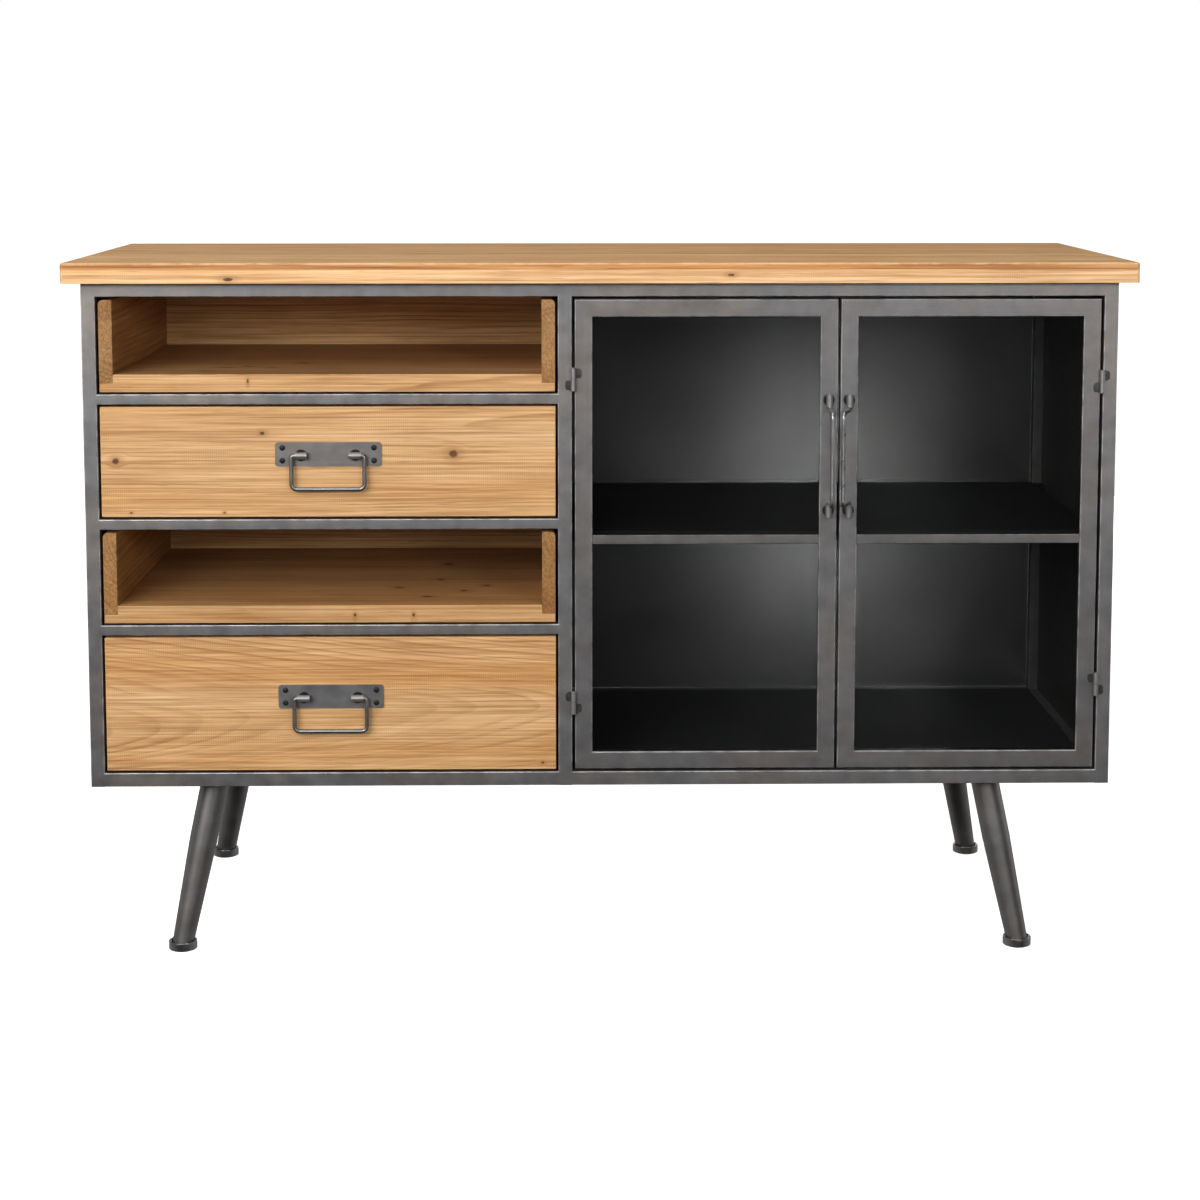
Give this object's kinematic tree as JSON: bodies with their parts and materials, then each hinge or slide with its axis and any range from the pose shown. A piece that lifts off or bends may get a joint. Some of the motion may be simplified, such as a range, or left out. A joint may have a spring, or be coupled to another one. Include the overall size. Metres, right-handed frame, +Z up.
{
  "type": "sideboard",
  "caption": "Industrial sideboard with a wooden top on a square-tube steel cabinet with open trays, drawers and glazed doors, standing on splayed legs.",
  "frame": {"origin": "on the floor, at the middle of the whole object's box", "axes": "+X to the viewer's right along the cabinet's length, +Y towards the back, +Z up; the drawers and doors face -Y"},
  "size_m": [1.2, 0.476, 0.797],
  "materials": {
    "top_wood": "oiled, satin",
    "fir": "oiled, satin, saw-marked",
    "inner_wood": "matte",
    "steel": "clear lacquered, satin",
    "sheet_steel": "dark satin",
    "dark_hardware": "blackened, satin",
    "zinc": "zinc plated",
    "rubber": "matte",
    "black_plastic": "matte",
    "glass": "clear, polished"
  },
  "bodies": {
    "cabinet": {"top_boards": "top_wood", "top_core": "top_wood", "top_tabs": "sheet_steel", "top_screws": "zinc", "front_posts": "steel", "rear_posts": "steel", "front_rails": "steel", "rear_rails": "steel", "side_rails": "steel", "bay_rails": "steel", "side_panels": "steel", "back_panel": "sheet_steel", "floor_panel": "sheet_steel", "partition_panel": "sheet_steel", "shelf": "sheet_steel", "shelf_brackets": "steel", "runner_angles": "sheet_steel", "post_knuckles": "steel", "hinge_pins": "zinc", "magnet_catches": "black_plastic", "leg_rails": "sheet_steel", "leg_plates": "steel", "leg_bolts": "zinc", "legs": "steel", "foot_cups": "steel", "foot_pads": "rubber"},
    "tray_upper": {"tray_upper_bottom": "fir", "tray_upper_sides": "fir", "tray_upper_back": "fir"},
    "tray_lower": {"tray_lower_bottom": "fir", "tray_lower_sides": "fir", "tray_lower_back": "fir"},
    "drawer_upper": {"drawer_upper_front": "fir", "drawer_upper_sides": "inner_wood", "drawer_upper_bottom": "inner_wood", "drawer_upper_pull_plate": "steel", "drawer_upper_pull_posts": "dark_hardware", "drawer_upper_pull_screws": "dark_hardware"},
    "drawer_lower": {"drawer_lower_front": "fir", "drawer_lower_sides": "inner_wood", "drawer_lower_bottom": "inner_wood", "drawer_lower_pull_plate": "steel", "drawer_lower_pull_posts": "dark_hardware", "drawer_lower_pull_screws": "dark_hardware"},
    "door_left": {"door_left_frame": "steel", "door_left_muntin": "steel", "door_left_glass": "glass", "door_left_beads": "sheet_steel", "door_left_knuckles": "steel", "door_left_bail_posts": "dark_hardware"},
    "door_right": {"door_right_frame": "steel", "door_right_muntin": "steel", "door_right_glass": "glass", "door_right_beads": "sheet_steel", "door_right_knuckles": "steel", "door_right_bail_posts": "dark_hardware"},
    "drawer_upper_handle": {"drawer_upper_bail": "steel"},
    "drawer_lower_handle": {"drawer_lower_bail": "steel"},
    "door_left_handle": {"door_left_bail": "steel"},
    "door_right_handle": {"door_right_bail": "steel"}
  },
  "joints": [
    {"name": "tray_upper_slide", "type": "slide", "parent": "cabinet", "child": "tray_upper", "axis": [0, -1, 0], "range_m": [0, 0.26]},
    {"name": "drawer_upper_slide", "type": "slide", "parent": "cabinet", "child": "drawer_upper", "axis": [0, -1, 0], "range_m": [0, 0.26]},
    {"name": "tray_lower_slide", "type": "slide", "parent": "cabinet", "child": "tray_lower", "axis": [0, -1, 0], "range_m": [0, 0.26]},
    {"name": "drawer_lower_slide", "type": "slide", "parent": "cabinet", "child": "drawer_lower", "axis": [0, -1, 0], "range_m": [0, 0.26]},
    {"name": "door_left_hinge", "type": "hinge", "parent": "cabinet", "child": "door_left", "pos_m": [-0.0315, -0.1964, 0.487], "axis": [0, 0, -1], "range_deg": [0, 90]},
    {"name": "door_right_hinge", "type": "hinge", "parent": "cabinet", "child": "door_right", "pos_m": [0.5635, -0.1964, 0.487], "axis": [0, 0, 1], "range_deg": [0, 110]},
    {"name": "door_left_handle_pivot", "type": "hinge", "parent": "door_left", "child": "door_left_handle", "pos_m": [0.2561, -0.201, 0.5785], "axis": [0, 0, -1], "range_deg": [0, 85]},
    {"name": "door_right_handle_pivot", "type": "hinge", "parent": "door_right", "child": "door_right_handle", "pos_m": [0.2789, -0.201, 0.5785], "axis": [0, 0, 1], "range_deg": [0, 100]},
    {"name": "drawer_upper_handle_pivot", "type": "hinge", "parent": "drawer_upper", "child": "drawer_upper_handle", "pos_m": [-0.307, -0.2, 0.58], "axis": [-1, 0, 0], "range_deg": [0, 150]},
    {"name": "drawer_lower_handle_pivot", "type": "hinge", "parent": "drawer_lower", "child": "drawer_lower_handle", "pos_m": [-0.307, -0.2, 0.3025], "axis": [-1, 0, 0], "range_deg": [0, 150]}
  ]
}
